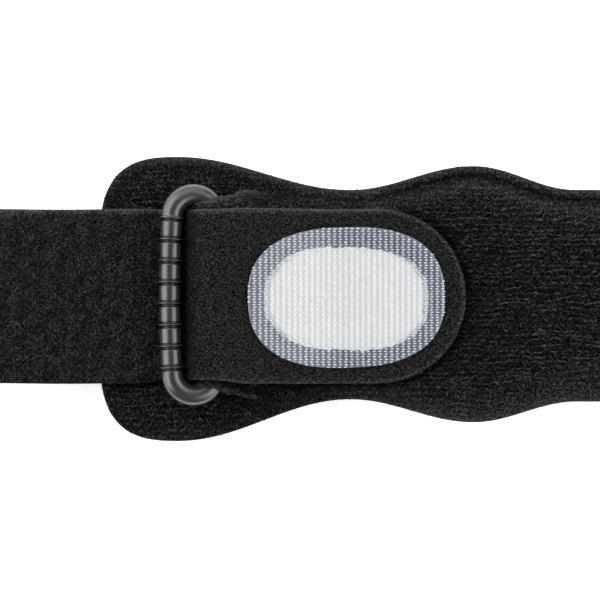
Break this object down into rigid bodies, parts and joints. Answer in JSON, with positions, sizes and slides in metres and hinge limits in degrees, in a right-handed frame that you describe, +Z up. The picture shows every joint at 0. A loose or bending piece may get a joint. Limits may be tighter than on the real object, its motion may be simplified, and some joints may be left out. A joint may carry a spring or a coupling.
{
  "type": "patella strap",
  "caption": "Closed knee strap lying flat: lobed knitted pad, pile strap threaded through a ridged loop ring, and a round tab end with an oval hook patch facing up.",
  "frame": {"origin": "middle of the underside of the box round the whole strap, on the surface it lies on", "axes": "+X along the pad from its ring end to its sewn end, +Y across the pad, +Z up"},
  "size_m": [0.2634, 0.0618, 0.0264],
  "materials": {
    "pad_knit": "black knitted cover over foam",
    "strap_pile": "black brushed loop pile",
    "ring_plastic": "dark grey, satin",
    "keeper_knit": "black knit",
    "hook_plastic": "milky moulded hooks"
  },
  "bodies": {
    "root": {"pad": "pad_knit", "strap": "strap_pile", "ring": "ring_plastic", "ring_keeper": "keeper_knit", "hook_patch": "hook_plastic"}
  },
  "joints": []
}
